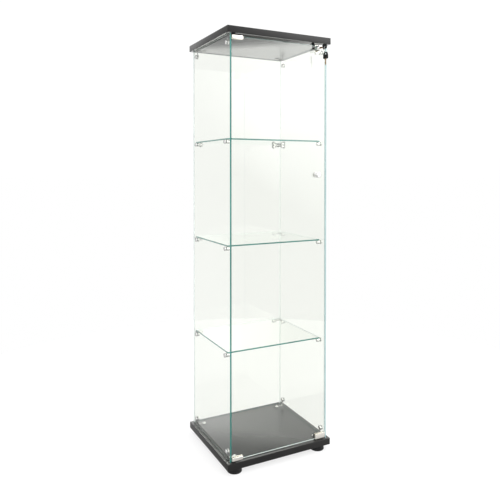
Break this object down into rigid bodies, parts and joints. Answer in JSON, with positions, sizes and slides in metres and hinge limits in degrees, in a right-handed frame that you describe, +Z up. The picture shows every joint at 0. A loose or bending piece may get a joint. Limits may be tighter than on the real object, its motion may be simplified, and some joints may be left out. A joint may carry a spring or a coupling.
{
  "type": "glass display case",
  "caption": "Tall locking glass display case with black laminate boards, loose glass shelves, a pivoted door, a through-bolted knob, round feet and a hanging spare key.",
  "frame": {"origin": "centre of the whole footprint at floor level, keys included", "axes": "+Z up, -Y out of the door, +X towards the lock side"},
  "size_m": [0.43, 0.4184, 1.57],
  "materials": {
    "black_laminate": "semi-gloss black laminate over board",
    "clear_glass": "clear tempered glass with polished green edges",
    "chrome_fittings": "polished",
    "satin_steel": "satin",
    "black_plastic": "moulded",
    "black_foot": "moulded round glide",
    "brass": "satin"
  },
  "bodies": {
    "case": {"top_board": "black_laminate", "base_board": "black_laminate", "foot_fl": "black_foot", "foot_fr": "black_foot", "foot_bl": "black_foot", "foot_br": "black_foot", "left_pane": "clear_glass", "right_pane": "clear_glass", "back_pane": "clear_glass", "shelf_upper": "clear_glass", "shelf_middle": "clear_glass", "shelf_lower": "clear_glass", "connector_base_fl": "chrome_fittings", "connector_base_fr": "chrome_fittings", "connector_base_bl": "chrome_fittings", "connector_base_br": "chrome_fittings", "connector_top_fl": "chrome_fittings", "connector_top_fr": "chrome_fittings", "connector_top_bl": "chrome_fittings", "connector_top_br": "chrome_fittings", "support_upper_fl": "chrome_fittings", "support_upper_fr": "chrome_fittings", "support_upper_bl": "chrome_fittings", "support_upper_br": "chrome_fittings", "support_middle_fl": "chrome_fittings", "support_middle_fr": "chrome_fittings", "support_middle_bl": "chrome_fittings", "support_middle_br": "chrome_fittings", "support_lower_fl": "chrome_fittings", "support_lower_fr": "chrome_fittings", "support_lower_bl": "chrome_fittings", "support_lower_br": "chrome_fittings", "hinge_bush_top": "black_plastic", "hinge_bush_bottom": "black_plastic", "magnet_catch": "black_plastic", "lock_strike": "black_plastic"},
    "door": {"door_pane": "clear_glass", "hinge_clamp_top": "chrome_fittings", "hinge_clamp_bottom": "chrome_fittings", "catch_plate": "satin_steel", "knob": "chrome_fittings", "knob_nut": "chrome_fittings", "lock_barrel": "chrome_fittings", "lock_plate": "satin_steel", "lock_nut": "black_plastic"},
    "lock_cylinder": {"lock_plug": "brass", "lock_cam": "satin_steel"},
    "key": {"key_head": "black_plastic", "key_blade": "brass"},
    "ring": {"key_ring": "satin_steel"},
    "spare_key": {"spare_head": "black_plastic", "spare_blade": "brass"}
  },
  "joints": [
    {"name": "door_hinge", "type": "hinge", "parent": "case", "child": "door", "pos_m": [-0.188, -0.14981, 0.8], "axis": [0, 0, -1], "range_deg": [0, 105]},
    {"name": "lock_turn", "type": "hinge", "parent": "door", "child": "lock_cylinder", "pos_m": [0.165, -0.15181, 1.5275], "axis": [0, 1, 0], "range_deg": [0, 90]},
    {"name": "key_pull", "type": "slide", "parent": "lock_cylinder", "child": "key", "axis": [0, -1, 0], "range_m": [0, 0.018]},
    {"name": "ring_swing", "type": "hinge", "parent": "key", "child": "ring", "pos_m": [0.165, -0.19931, 1.5258], "axis": [0.9063, 0.4226, 0], "range_deg": [-20, 20]},
    {"name": "spare_swing", "type": "hinge", "parent": "ring", "child": "spare_key", "pos_m": [0.165, -0.19931, 1.5008], "axis": [0.9063, 0.4226, 0], "range_deg": [-20, 20]}
  ]
}
